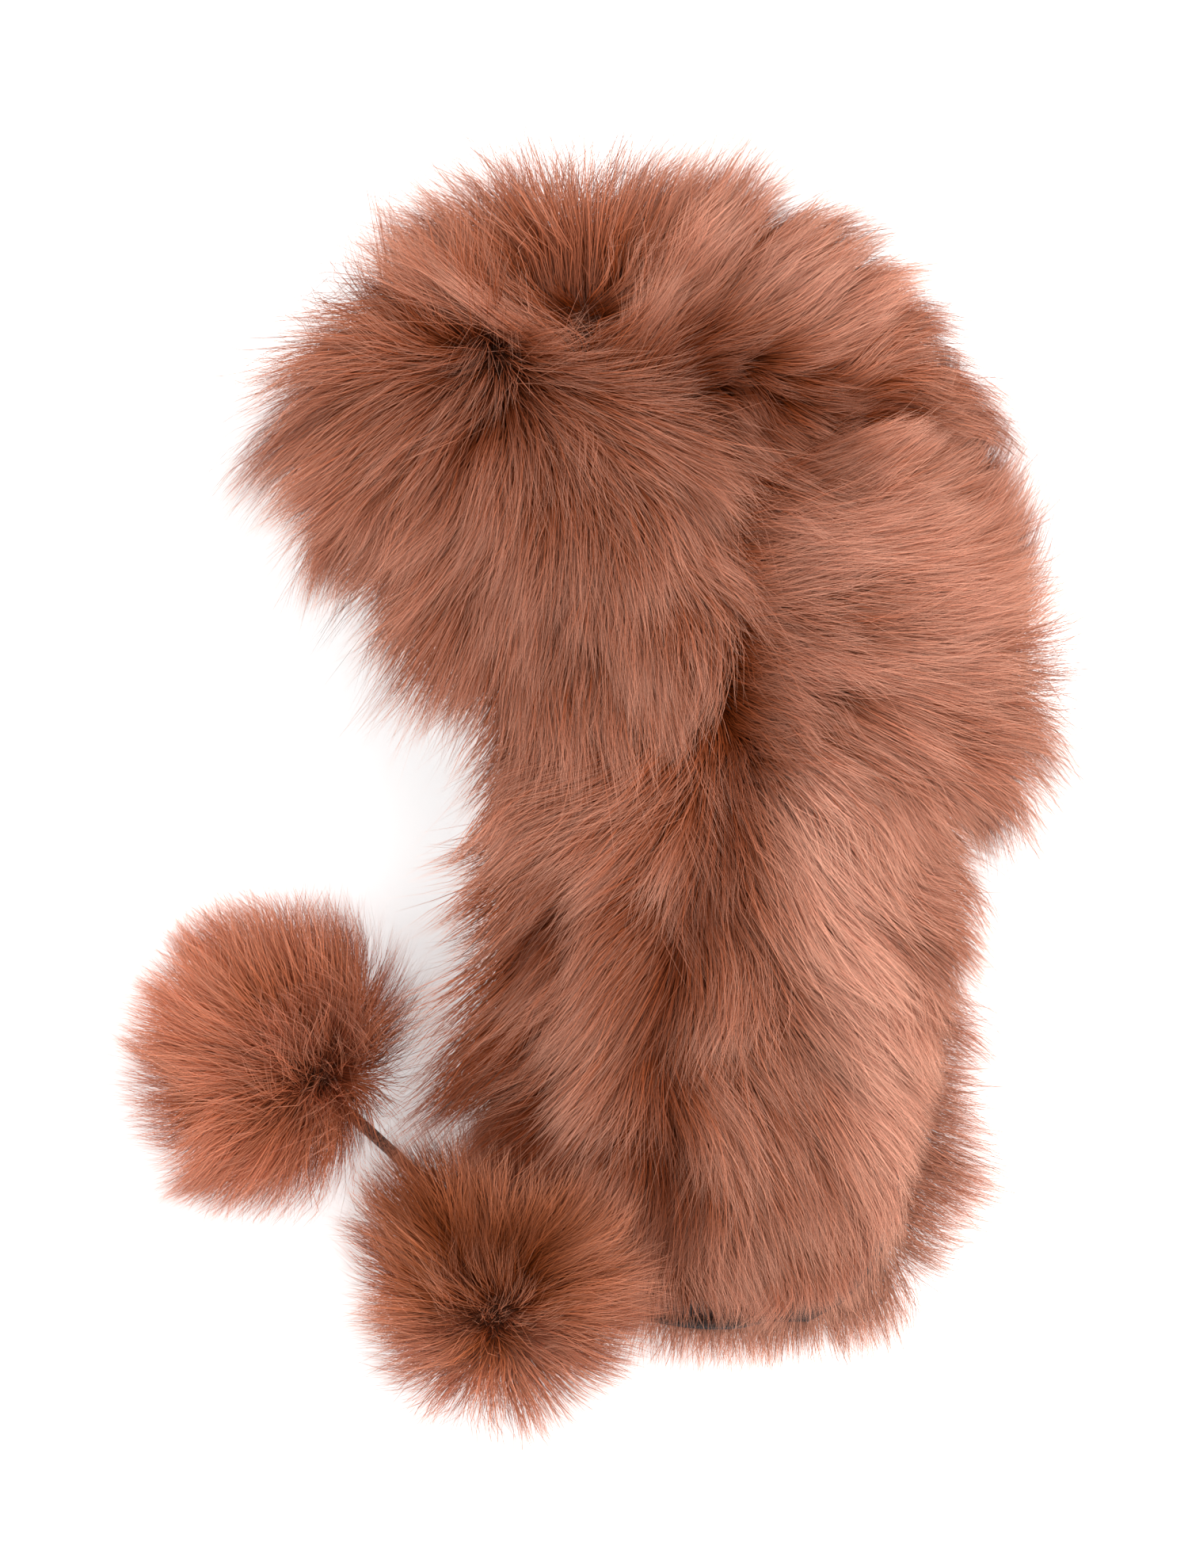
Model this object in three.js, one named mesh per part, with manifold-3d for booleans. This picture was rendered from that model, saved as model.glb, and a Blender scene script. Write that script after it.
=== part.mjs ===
import * as THREE from 'three';
import { mergeVertices } from 'three/addons/utils/BufferGeometryUtils.js';
import Module from 'manifold-3d';

const wasm = await Module();
wasm.setup();

// A long-haired fur trapper hat that lies on its right side. Millimetres. +X is the back of the
// hat, +Y the top of its crown, +Z its left side, and z = 0 is the surface that it lies on.

// Driving sizes
const GAP = 0.4; // clearance between two pieces that touch
const HIDE = 2.5; // hide and its backing
const LINING = 1.5;
const LINING_GAP = 0.7; // between the near flap's hide and its lining
const LINING_REACH = 0.03; // share of the flap's length that its lining shows below it
const UNDERFUR = 6; // dense fur next to the hide
const ROOT_DEPTH = 1.5; // how deep a lock is rooted
const PRESSED = { from: 0.6, full: 0.9 }; // how squarely fur faces the ground to be pressed flat
const EDGE_SPAN = 100; // a panel at least this long grows by the full clearance at its edges
const DOME_CLOSE = 0.99; // the dome's last ring, under the flat cap at its top
const TIP_GROWTH = 4; // a grown lock's slim tip moves this much further than its sides
const FLOOR_BLOCK = 600; // anything that would reach below the surface is cut off by this block

// The head form: an oval section that keeps its size up to SPRING and closes in a dome.
const HEAD = {
  centre: new THREE.Vector3(0, 0, 67),
  front: 95, // reach of the hide from the centre towards the brow
  back: 93,
  half: 50, // reach towards the left and the right side, flattened by lying on one side
  squareness: 2.4, // 2 is an ellipse
  rim: 24, // y of the sewn edge of the crown
  browRim: 80, // y of that edge at the middle of the brow, where it is cut higher
  browFrom: 0.42, // how squarely the form faces forward where the edge begins to rise
  spring: 90, // y where the dome begins
  dome: 76, // height of the dome over the spring
  taper: 9, // how much the brow edge draws in towards the rim
};
const BROW = { dome: 100, half: 97, overRim: 4, high: 146, lowRise: 4, highFall: 44 };
const BAND = { from: 98, to: 262, low: -5, high: 118, highFall: 30 };

// Ear flaps, one row for each height: hide edges and how far the flap still follows the head
const LEFT_FLAP_ROWS = [
  { y: -176, front: 0, back: 38, follow: 0 },
  { y: -167, front: -18, back: 53, follow: 0 },
  { y: -148, front: -37, back: 66, follow: 0.05 },
  { y: -122, front: -47, back: 76, follow: 0.22 },
  { y: -84, front: -51, back: 82, follow: 0.5 },
  { y: -40, front: -50, back: 85, follow: 0.8 },
  { y: 0, front: -49, back: 85, follow: 0.96 },
  { y: 23.6, front: -50, back: 84, follow: 1 },
];
const RIGHT_FLAP_ROWS = [
  { y: -186, front: 12, back: 50, follow: 0 },
  { y: -177, front: -4, back: 65, follow: 0 },
  { y: -154, front: -18, back: 78, follow: 0 },
  { y: -116, front: -26, back: 84, follow: 0.05 },
  { y: -60, front: -30, back: 80, follow: 0.3 },
  { y: 0, front: -34, back: 76, follow: 0.85 },
  { y: 23.6, front: -36, back: 76, follow: 1 },
];
const LEFT_FLAP_GRID = { columns: 7, rows: 9 };
const RIGHT_FLAP_LEVEL = 12; // outer face of the far flap's hide, over its pressed fur
const LEFT_FLAP_LEVEL = RIGHT_FLAP_LEVEL + HIDE + GAP + LINING + LINING_GAP + HIDE;

// Where the hair turns outwards from, as seen from the side of the hat
const CROWN_PARTING = new THREE.Vector2(-14, 140);
const BROW_WHORL = new THREE.Vector2(-64, 136);
const BAND_PARTING = new THREE.Vector2(6, 78);

// Locks of fur: length, half width, half depth, and lift of the tip off the hide
const LONG_LOCK = { length: 44, width: 14, depth: 5.5, lift: 0.55 };
const CROWN_LOCK = { length: 44, width: 15, depth: 6, lift: 0.75 };
const FLAP_LOCK = { length: 40, width: 13, depth: 5.5, lift: 0.5 };
const EDGE_LOCK = { length: 30, width: 12, depth: 6, lift: 0.12 };
const POMPOM_LOCK = { length: 30, width: 9.5, depth: 8, lift: 1 };

const LOCK_BEND = { up: 0.6, over: 0.38, share: 0.8, rootShare: 0.95 }; // where a lock bends over
const STEEPEST = 0.98; // lift of a lock that stands straight up
const NO_FLOW = 0.05; // less flow than this along the hide leaves a lock's direction open

const CORD_RADIUS = 2;
const CORD_SIDES = 8;
const POMPOM = { core: 23, locks: 20, height: 40 };

// Tie cords by hand-chosen points: out of the flap, down to the surface, and into the pompom
const LEFT_CORD_ROUTE = [
  [46, -174, 17.6], [41, -180, 17.6], [34, -184.2, 17.8], [26, -186, 17.6], [17, -186.5, 16],
  [8, -186, 13], [-1, -185, 9.2], [-10, -184, 5.8], [-18, -183.2, 4], [-25.5, -182.6, 4.6],
  [-32, -182, 7.4], [-37.5, -181, 11.6], [-42, -179.8, 16.8], [-45.8, -178.5, 22.5], [-49, -177.2, 28.5],
];
const RIGHT_CORD_ROUTE = [
  [2, -164, 7], [-5, -168, 6.4], [-12, -171, 5], [-20, -172.6, 3], [-29, -172, 2.4],
  [-38, -168.5, 2.4], [-46.5, -162.8, 2.4], [-55, -157, 2.4], [-64, -150.5, 2.4], [-73, -144, 2.4],
  [-82, -137.2, 2.4], [-89, -130.8, 3.6], [-95.5, -124.6, 6.6], [-101.3, -119, 11],
  [-106.4, -114, 16.4], [-111, -109.6, 22.4], [-115.2, -105.6, 28.6],
];
const LEFT_POMPOM_AT = new THREE.Vector3(-56, -174, POMPOM.height);
const RIGHT_POMPOM_AT = new THREE.Vector3(-128, -94, POMPOM.height);

const FUR_COLOUR = 0xb06c55;
const LINING_COLOUR = 0x16120f;
const UP = new THREE.Vector3(0, 0, 1);

// A repeatable number from 0 to 1 for each whole number
function chance(index) {
  const wave = Math.sin(index * 12.9898 + 4.1) * 43758.5453;
  return wave - Math.floor(wave);
}

function signedPower(value, power) {
  return Math.sign(value) * Math.abs(value) ** power;
}

// A row of a table at any height, on smooth curves through its columns
function rowAt(rows, y) {
  const last = rows.length - 2;
  const above = rows.findIndex((row) => row.y > y);
  const index = above < 0 ? last : Math.max(above - 1, 0);
  const pick = (offset) => rows[THREE.MathUtils.clamp(index + offset, 0, rows.length - 1)];
  const [before, low, high, after] = [pick(-1), pick(0), pick(1), pick(2)];
  const t = THREE.MathUtils.clamp((y - low.y) / (high.y - low.y), 0, 1);
  const span = high.y - low.y;
  const result = { y };
  for (const column of Object.keys(low)) {
    if (column === 'y') continue;
    const startSlope = ((high[column] - before[column]) / (high.y - before.y)) * span;
    const endSlope = ((after[column] - low[column]) / (after.y - low.y)) * span;
    result[column] = low[column] * (1 + 2 * t) * (1 - t) ** 2 + startSlope * t * (1 - t) ** 2
      + high[column] * t * t * (3 - 2 * t) + endSlope * t * t * (t - 1);
  }
  return result;
}

// The head form at an angle round it (0 brow, 90 left side, 180 nape) and a height
function headPoint(degrees, y, dome = HEAD.dome) {
  const angle = THREE.MathUtils.degToRad(degrees);
  const rise = Math.max(0, (y - HEAD.spring) / dome);
  const size = Math.sqrt(Math.max(0, 1 - rise * rise));
  const drop = Math.max(0, (HEAD.spring - y) / (HEAD.spring - HEAD.rim));
  const front = HEAD.front - HEAD.taper * drop * drop;
  const reach = Math.cos(angle) > 0 ? front : HEAD.back;
  const power = 2 / HEAD.squareness;
  return new THREE.Vector3(
    HEAD.centre.x - reach * size * signedPower(Math.cos(angle), power),
    y,
    HEAD.centre.z + HEAD.half * size * signedPower(Math.sin(angle), power),
  );
}

// The y of the crown's sewn edge at an angle round the head form
function rimAt(degrees) {
  const forward = Math.cos(THREE.MathUtils.degToRad(degrees));
  const share = THREE.MathUtils.smoothstep(forward, HEAD.browFrom, 1);
  return THREE.MathUtils.lerp(HEAD.rim, HEAD.browRim, share);
}

// Height over or under the middle of the head form at a given x, at the rim's size
function headSide(x) {
  const reach = x < HEAD.centre.x ? HEAD.front : HEAD.back;
  const across = Math.min(1, Math.abs(x - HEAD.centre.x) / reach);
  return HEAD.half * (1 - across ** HEAD.squareness) ** (1 / HEAD.squareness);
}

// The surfaces of the panels, each over u and v from 0 to 1
const surfaces = {
  crown(u, v) {
    const turn = v < 0.4 ? v / 0.4 : 1 + (v - 0.4) / 0.6;
    const y = turn < 1
      ? THREE.MathUtils.lerp(rimAt(u * 360), HEAD.spring, turn)
      : HEAD.spring + HEAD.dome * Math.sin(((turn - 1) * Math.PI) / 2);
    return headPoint(u * 360, y);
  },
  brow(u, v) {
    const side = 2 * u - 1;
    const low = rimAt(side * BROW.half) + BROW.overRim + BROW.lowRise * side ** 4;
    const high = BROW.high - BROW.highFall * Math.abs(side) ** 3;
    return headPoint(side * BROW.half, THREE.MathUtils.lerp(low, high, v), BROW.dome);
  },
  band(u, v) {
    const side = 2 * u - 1;
    const high = BAND.high - BAND.highFall * side * side;
    const degrees = THREE.MathUtils.lerp(BAND.from, BAND.to, u);
    return headPoint(degrees, THREE.MathUtils.lerp(BAND.low, high, v));
  },
  leftFlap(u, v) {
    const rows = LEFT_FLAP_ROWS;
    const row = rowAt(rows, THREE.MathUtils.lerp(rows[0].y, rows.at(-1).y, v));
    const x = THREE.MathUtils.lerp(row.front, row.back, u);
    const top = HEAD.centre.z + headSide(x);
    return new THREE.Vector3(x, row.y, THREE.MathUtils.lerp(LEFT_FLAP_LEVEL, top, row.follow));
  },
  lining(u, v) {
    return surfaces.leftFlap(u, v - LINING_REACH * Math.max(0, 1 - v * LEFT_FLAP_GRID.rows));
  },
  rightFlap(u, v) {
    const rows = RIGHT_FLAP_ROWS;
    const row = rowAt(rows, THREE.MathUtils.lerp(rows[0].y, rows.at(-1).y, v));
    const x = THREE.MathUtils.lerp(row.back, row.front, u);
    const bottom = HEAD.centre.z - headSide(x);
    return new THREE.Vector3(x, row.y, THREE.MathUtils.lerp(RIGHT_FLAP_LEVEL, bottom, row.follow));
  },
};

// The direction away from the hide. Every surface runs so that u across v points outwards.
function outward(surface, u, v) {
  const step = 0.004;
  const inside = THREE.MathUtils.clamp(v, step, 0.985);
  const along = surface(u + step, inside).sub(surface(u - step, inside));
  const up = surface(u, inside + step).sub(surface(u, inside - step));
  return along.cross(up).normalize();
}

function geometryOf(points, faces) {
  const geometry = new THREE.BufferGeometry();
  const numbers = points.flatMap((point) => [point.x, point.y, point.z]);
  geometry.setAttribute('position', new THREE.Float32BufferAttribute(numbers, 3));
  geometry.setIndex(faces.flat());
  return geometry;
}

function volumeOf(points, faces) {
  const parts = faces.map(([a, b, c]) => points[a].dot(points[b].clone().cross(points[c])) / 6);
  return parts.reduce((sum, part) => sum + part, 0);
}

function solidOf(geometry) {
  const plain = geometry.clone();
  plain.deleteAttribute('normal');
  plain.deleteAttribute('uv');
  const merged = mergeVertices(plain, 1e-4);
  return new wasm.Manifold(new wasm.Mesh({
    numProp: 3,
    vertProperties: new Float32Array(merged.attributes.position.array),
    triVerts: new Uint32Array(merged.index.array),
  }));
}

function solidFrom(points, faces) {
  const turned = volumeOf(points, faces) < 0 ? faces.map(([a, b, c]) => [a, c, b]) : faces;
  return solidOf(geometryOf(points, turned));
}

// A wall over a surface, from one distance off it to another. A wall with pressed fur reaches
// the ground wherever it faces down. A wall that runs all round closes at its top.
function wall(surface, { columns, rows, inner, outer, round = false, pressed = false }, grow) {
  const count = round ? columns : columns + 1;
  const points = [];
  const edge = grow / EDGE_SPAN;
  for (const distance of [outer + grow, inner - grow]) {
    for (let row = 0; row <= rows; row += 1) {
      for (let column = 0; column < count; column += 1) {
        const u = round ? column / columns : (column / columns) * (1 + 2 * edge) - edge;
        const v = round ? (row / rows) * (DOME_CLOSE + edge) - edge : (row / rows) * (1 + 2 * edge) - edge;
        const normal = outward(surface, u, v);
        const point = surface(u, v).addScaledVector(normal, distance);
        if (pressed && distance > inner) {
          const share = THREE.MathUtils.smoothstep(-normal.z, PRESSED.from, PRESSED.full);
          point.z = THREE.MathUtils.lerp(point.z, -grow, share);
        }
        points.push(point);
      }
    }
  }
  const layer = count * (rows + 1);
  const at = (side, row, column) => side * layer + row * count + (column % count);
  const faces = [];
  const quad = (a, b, c, d) => faces.push([a, b, c], [a, c, d]);
  for (let row = 0; row < rows; row += 1) {
    for (let column = 0; column < columns; column += 1) {
      quad(at(0, row, column), at(0, row, column + 1), at(0, row + 1, column + 1), at(0, row + 1, column));
      quad(at(1, row, column), at(1, row + 1, column), at(1, row + 1, column + 1), at(1, row, column + 1));
    }
  }
  for (let column = 0; column < columns; column += 1) {
    quad(at(1, 0, column), at(1, 0, column + 1), at(0, 0, column + 1), at(0, 0, column));
    if (!round) {
      quad(at(0, rows, column), at(0, rows, column + 1), at(1, rows, column + 1), at(1, rows, column));
    }
  }
  if (round) {
    for (const side of [0, 1]) {
      const ring = points.slice(side * layer + rows * count, side * layer + (rows + 1) * count);
      const middle = ring.reduce((sum, point) => sum.add(point), new THREE.Vector3());
      points.push(middle.divideScalar(count));
      for (let column = 0; column < columns; column += 1) {
        const [a, b] = [at(side, rows, column), at(side, rows, column + 1)];
        faces.push(side === 0 ? [a, b, points.length - 1] : [b, a, points.length - 1]);
      }
    }
  } else {
    for (let row = 0; row < rows; row += 1) {
      quad(at(0, row, 0), at(0, row + 1, 0), at(1, row + 1, 0), at(1, row, 0));
      quad(at(1, row, columns), at(1, row + 1, columns), at(0, row + 1, columns), at(0, row, columns));
    }
  }
  return solidFrom(points, faces);
}

// One lock: a tapered wisp of four sides that leaves the hide along its normal and lies over
// towards the flow of the hair.
function lock(root, normal, flow, { length, width, depth, lift }, grow) {
  const along = flow.clone().addScaledVector(normal, -flow.dot(normal));
  if (along.length() < NO_FLOW) along.set(normal.y, -normal.x, NO_FLOW);
  along.normalize();
  const side = normal.clone().cross(along);
  const lean = Math.sqrt(1 - Math.min(lift, STEEPEST) ** 2);
  const reach = (up, over) => root.clone()
    .addScaledVector(normal, length * lift * up).addScaledVector(along, length * lean * over);
  const middle = reach(LOCK_BEND.up, LOCK_BEND.over);
  const tip = reach(1, 1);
  tip.addScaledVector(tip.clone().sub(middle).normalize(), grow * TIP_GROWTH);
  const start = root.clone().addScaledVector(normal, -ROOT_DEPTH);
  start.addScaledVector(start.clone().sub(middle).normalize(), grow);
  const points = [];
  for (const [centre, share] of [[start, LOCK_BEND.rootShare], [middle, LOCK_BEND.share]]) {
    const rise = tip.clone().sub(root).cross(side).normalize().negate();
    points.push(
      centre.clone().addScaledVector(side, width * share + grow),
      centre.clone().addScaledVector(rise, depth * share + grow),
      centre.clone().addScaledVector(side, -width * share - grow),
      centre.clone().addScaledVector(rise, -depth * share - grow),
    );
  }
  points.push(tip);
  const faces = [[0, 2, 1], [0, 3, 2]];
  for (let corner = 0; corner < 4; corner += 1) {
    const next = (corner + 1) % 4;
    faces.push([corner, next, 4 + next], [corner, 4 + next, 4 + corner], [4 + corner, 4 + next, 8]);
  }
  return solidFrom(points, faces);
}

// Locks over a surface in staggered rows. keep tells where that panel's hair shows.
function locks(surface, {
  columns, rows, shape, flowAt, off, keep = () => true, lengthAt = () => 1, seed,
}, grow) {
  const made = [];
  for (let row = 0; row < rows; row += 1) {
    for (let column = 0; column < columns; column += 1) {
      const index = seed + row * columns + column;
      const shift = (row % 2) * 0.5 + 0.25 + 0.3 * (chance(index) - 0.5);
      const u = (column + shift) / columns;
      const v = (row + 0.5 + 0.4 * (chance(index + 0.5) - 0.5)) / rows;
      const normal = outward(surface, u, v);
      const root = surface(u, v).addScaledVector(normal, off);
      if (!keep(root, u, v)) continue;
      const length = shape.length * lengthAt(v) * (0.9 + 0.25 * chance(index + 0.25));
      made.push(lock(root, normal, flowAt(root, u), { ...shape, length }, grow));
    }
  }
  return made;
}

function away(from) {
  return (root) => new THREE.Vector3(root.x - from.x, root.y - from.y, 0).normalize();
}

function joined(solids) {
  return solids.reduce((sum, solid) => sum.add(solid));
}

// The largest body of a solid, without crumbs and closed bubbles
function mainBody(solid) {
  const bodies = solid.decompose().filter((body) => body.volume() > 0);
  return bodies.reduce((best, body) => (body.volume() > best.volume() ? body : best));
}

const ground = solidOf(
  new THREE.BoxGeometry(FLOOR_BLOCK, FLOOR_BLOCK, FLOOR_BLOCK).translate(0, 0, -FLOOR_BLOCK / 2),
);

// Each fur piece by how much it is grown: 0 is the piece, GAP the room that others leave it
const pieces = {
  crown(grow) {
    const flowAt = away(CROWN_PARTING);
    const shows = (root) => root.y > 98 && root.x > -62;
    return joined([
      wall(surfaces.crown, { columns: 18, rows: 6, inner: -HIDE, outer: 0, round: true }, grow),
      ...locks(surfaces.crown, {
        columns: 10, rows: 6, shape: CROWN_LOCK, flowAt, off: 0, keep: shows, seed: 10,
      }, grow),
    ]);
  },
  brow(grow) {
    return joined([
      wall(surfaces.brow, {
        columns: 14, rows: 4, inner: GAP, outer: GAP + HIDE + UNDERFUR, pressed: true,
      }, grow),
      ...locks(surfaces.brow, {
        columns: 7, rows: 4, shape: LONG_LOCK, flowAt: away(BROW_WHORL), off: HIDE + UNDERFUR, seed: 210,
      }, grow),
    ]);
  },
  band(grow) {
    return joined([
      wall(surfaces.band, {
        columns: 14, rows: 4, inner: GAP, outer: GAP + HIDE + UNDERFUR, pressed: true,
      }, grow),
      ...locks(surfaces.band, {
        columns: 7, rows: 4, shape: LONG_LOCK, flowAt: away(BAND_PARTING), off: HIDE + UNDERFUR, seed: 410,
      }, grow),
    ]);
  },
  leftFlap(grow) {
    const flowAt = (root, u) => new THREE.Vector3(1.8 * (u - 0.5), -1, 0).normalize();
    const lengthAt = (v) => (v < 0.2 ? 0.6 : 1);
    return joined([
      wall(surfaces.leftFlap, { ...LEFT_FLAP_GRID, inner: -HIDE, outer: UNDERFUR }, grow),
      ...locks(surfaces.leftFlap, {
        columns: 4, rows: 7, shape: FLAP_LOCK, flowAt, off: UNDERFUR, lengthAt, seed: 610,
      }, grow),
    ]);
  },
  lining(grow) {
    return wall(surfaces.lining, {
      ...LEFT_FLAP_GRID, inner: -HIDE - LINING_GAP - LINING, outer: -HIDE - LINING_GAP,
    }, grow);
  },
  rightFlap(grow) {
    const flowAt = (root, u) => new THREE.Vector3(1.6 * (0.5 - u), -0.6, 0).normalize();
    const edge = (root, u, v) => u < 0.3 || u > 0.7 || v < 0.3;
    return joined([
      wall(surfaces.rightFlap, {
        columns: 6, rows: 8, inner: -HIDE, outer: UNDERFUR, pressed: true,
      }, grow),
      ...locks(surfaces.rightFlap, {
        columns: 4, rows: 7, shape: EDGE_LOCK, flowAt, off: 1, keep: edge, seed: 810,
      }, grow),
    ]);
  },
};

function pompom(centre, grow) {
  const made = [solidOf(new THREE.IcosahedronGeometry(POMPOM.core + grow, 1).translate(centre.x, centre.y, centre.z))];
  const golden = Math.PI * (3 - Math.sqrt(5));
  for (let index = 0; index < POMPOM.locks; index += 1) {
    const z = 1 - (2 * (index + 0.5)) / POMPOM.locks;
    const reach = Math.sqrt(1 - z * z);
    const normal = new THREE.Vector3(reach * Math.cos(golden * index), reach * Math.sin(golden * index), z);
    const root = centre.clone().addScaledVector(normal, POMPOM.core - 3);
    made.push(lock(root, normal, UP, POMPOM_LOCK, grow));
  }
  return joined(made);
}

function cord(route, grow) {
  const curve = new THREE.CatmullRomCurve3(route.map((point) => new THREE.Vector3(...point)));
  const outline = new THREE.Shape();
  outline.absarc(0, 0, CORD_RADIUS + grow, 0, Math.PI * 2);
  const steps = Math.round(curve.getLength() / (5 * CORD_RADIUS));
  return new THREE.ExtrudeGeometry(outline, {
    extrudePath: curve, steps, curveSegments: CORD_SIDES / 2, bevelEnabled: false,
  });
}

const room = (name) => pieces[name](GAP);
const cordRoom = solidOf(cord(LEFT_CORD_ROUTE, GAP)).add(solidOf(cord(RIGHT_CORD_ROUTE, GAP)));

function cut(solid, ...others) {
  return mainBody([ground, cordRoom, ...others].reduce((left, other) => left.subtract(other), solid));
}

// The room over or under the seam that joins the crown's two side panels
function sideOfSeam(direction) {
  const middle = HEAD.centre.z + (direction * (GAP + FLOOR_BLOCK)) / 2;
  return solidOf(new THREE.BoxGeometry(FLOOR_BLOCK, FLOOR_BLOCK, FLOOR_BLOCK).translate(0, 0, middle));
}

const solids = {};
const crown = cut(pieces.crown(0));
solids.crown_left = mainBody(crown.intersect(sideOfSeam(1)));
solids.crown_right = mainBody(crown.intersect(sideOfSeam(-1)));
solids.brow_flap = cut(pieces.brow(0), room('crown'));
solids.neck_band = cut(pieces.band(0), room('crown'), room('brow'));
solids.ear_flap_right = cut(pieces.rightFlap(0), room('crown'), room('band'), room('brow'));
solids.ear_flap_left = cut(
  pieces.leftFlap(0), room('crown'), room('band'), room('brow'), room('rightFlap'),
);
solids.ear_lining_left = cut(pieces.lining(0), room('crown'), room('rightFlap'));
solids.pompom_left = cut(
  pompom(LEFT_POMPOM_AT, 0), room('leftFlap'), room('rightFlap'), room('lining'),
);
solids.pompom_right = cut(
  pompom(RIGHT_POMPOM_AT, 0), room('leftFlap'), pompom(LEFT_POMPOM_AT, GAP),
);

function meshOf(name, geometry, colour, roughness) {
  const mesh = new THREE.Mesh(geometry, new THREE.MeshStandardMaterial({
    color: colour, roughness, metalness: 0,
  }));
  mesh.name = name;
  return mesh;
}

function geometryFrom(solid) {
  const { vertProperties, triVerts } = solid.getMesh();
  const geometry = new THREE.BufferGeometry();
  geometry.setAttribute('position', new THREE.BufferAttribute(new Float32Array(vertProperties), 3));
  geometry.setIndex(new THREE.BufferAttribute(new Uint32Array(triVerts), 1));
  geometry.computeVertexNormals();
  return geometry;
}

const hat = new THREE.Group();
for (const [name, solid] of Object.entries(solids)) {
  const lined = name.startsWith('ear_lining');
  hat.add(meshOf(name, geometryFrom(solid), lined ? LINING_COLOUR : FUR_COLOUR, lined ? 0.8 : 0.9));
}
hat.add(meshOf('cord_left', cord(LEFT_CORD_ROUTE, 0), LINING_COLOUR, 0.8));
hat.add(meshOf('cord_right', cord(RIGHT_CORD_ROUTE, 0), LINING_COLOUR, 0.8));

export default hat;
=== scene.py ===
import math

import bpy
import numpy as np
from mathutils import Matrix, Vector, kdtree


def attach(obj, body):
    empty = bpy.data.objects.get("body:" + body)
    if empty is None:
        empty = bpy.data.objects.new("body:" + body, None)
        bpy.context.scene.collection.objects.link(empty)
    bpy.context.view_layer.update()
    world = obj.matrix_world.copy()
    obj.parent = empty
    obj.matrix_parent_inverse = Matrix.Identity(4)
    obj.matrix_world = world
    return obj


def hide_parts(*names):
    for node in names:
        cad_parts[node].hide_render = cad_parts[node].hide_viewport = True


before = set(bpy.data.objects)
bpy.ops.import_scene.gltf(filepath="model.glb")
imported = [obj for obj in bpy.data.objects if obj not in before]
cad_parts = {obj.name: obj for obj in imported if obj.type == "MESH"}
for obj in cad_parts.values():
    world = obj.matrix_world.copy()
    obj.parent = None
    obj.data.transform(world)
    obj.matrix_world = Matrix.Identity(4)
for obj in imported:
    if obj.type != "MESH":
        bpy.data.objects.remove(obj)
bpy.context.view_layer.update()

# A long-haired fur hat that lies on its right side. Lengths in millimetres until a mesh is made.
# +X is the back of the hat, +Y the top of its crown, +Z its left side.
MM = 0.001

# ---------------------------------------------------------------- camera

PICTURE_MIDDLE = (-22.1, -5.1, 65.0)
PICTURE_HEIGHT = 514.5
CAMERA_DISTANCE = 2000.0
SENSOR = 36.0

camera_data = bpy.data.cameras.new("camera")
camera_data.sensor_width = SENSOR
camera_data.lens = SENSOR * CAMERA_DISTANCE / PICTURE_HEIGHT
camera_data.clip_end = 20
camera = bpy.data.objects.new("camera", camera_data)
camera.location = Vector(PICTURE_MIDDLE) * MM + Vector((0, 0, CAMERA_DISTANCE * MM))
bpy.context.scene.collection.objects.link(camera)
bpy.context.scene.camera = camera

# ---------------------------------------------------------------- tie cords

CORD_DIAMETER = 4.0
LEFT_CORD_ROUTE = [
    (46, -174, 17.6), (41, -180, 17.6), (34, -184.2, 17.8), (26, -186, 17.6), (17, -186.5, 16),
    (8, -186, 13), (-1, -185, 9.2), (-10, -184, 5.8), (-18, -183.2, 4), (-25.5, -182.6, 4.6),
    (-32, -182, 7.4), (-37.5, -181, 11.6), (-42, -179.8, 16.8), (-45.8, -178.5, 22.5),
    (-49, -177.2, 28.5), (-52, -175.8, 34), (-56, -174, 40),
]
RIGHT_CORD_ROUTE = [
    (2, -164, 7), (-5, -168, 6.4), (-12, -171, 5), (-20, -172.6, 3), (-29, -172, 2.4),
    (-38, -168.5, 2.4), (-46.5, -162.8, 2.4), (-55, -157, 2.4), (-64, -150.5, 2.4),
    (-73, -144, 2.4), (-82, -137.2, 2.4), (-89, -130.8, 3.6), (-95.5, -124.6, 6.6),
    (-101.3, -119, 11), (-106.4, -114, 16.4), (-111, -109.6, 22.4), (-115.2, -105.6, 28.6),
    (-121, -100.2, 34), (-128, -94, 40),
]


def smooth_route(points, steps=6):
    """More points on a smooth curve through the given ones."""
    points = np.array(points, float)
    ends = np.vstack([2 * points[0] - points[1], points, 2 * points[-1] - points[-2]])
    t = np.linspace(0, 1, steps, endpoint=False)[:, None]
    made = []
    for a, b, c, d in zip(ends[:-3], ends[1:-2], ends[2:-1], ends[3:]):
        made.append(0.5 * (2 * b + (c - a) * t + (2 * a - 5 * b + 4 * c - d) * t ** 2
                           + (3 * b - a - 3 * c + d) * t ** 3))
    return np.vstack(made + [points[-1:]])


def mesh_piece(name, points, faces, smooth=True):
    """A mesh object at the origin, from points in millimetres."""
    mesh = bpy.data.meshes.new(name)
    mesh.from_pydata((np.asarray(points) * MM).tolist(), [], [list(map(int, f)) for f in faces])
    mesh.polygons.foreach_set("use_smooth", [smooth] * len(mesh.polygons))
    mesh.update()
    piece = bpy.data.objects.new(name, mesh)
    bpy.context.scene.collection.objects.link(piece)
    return piece


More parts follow.
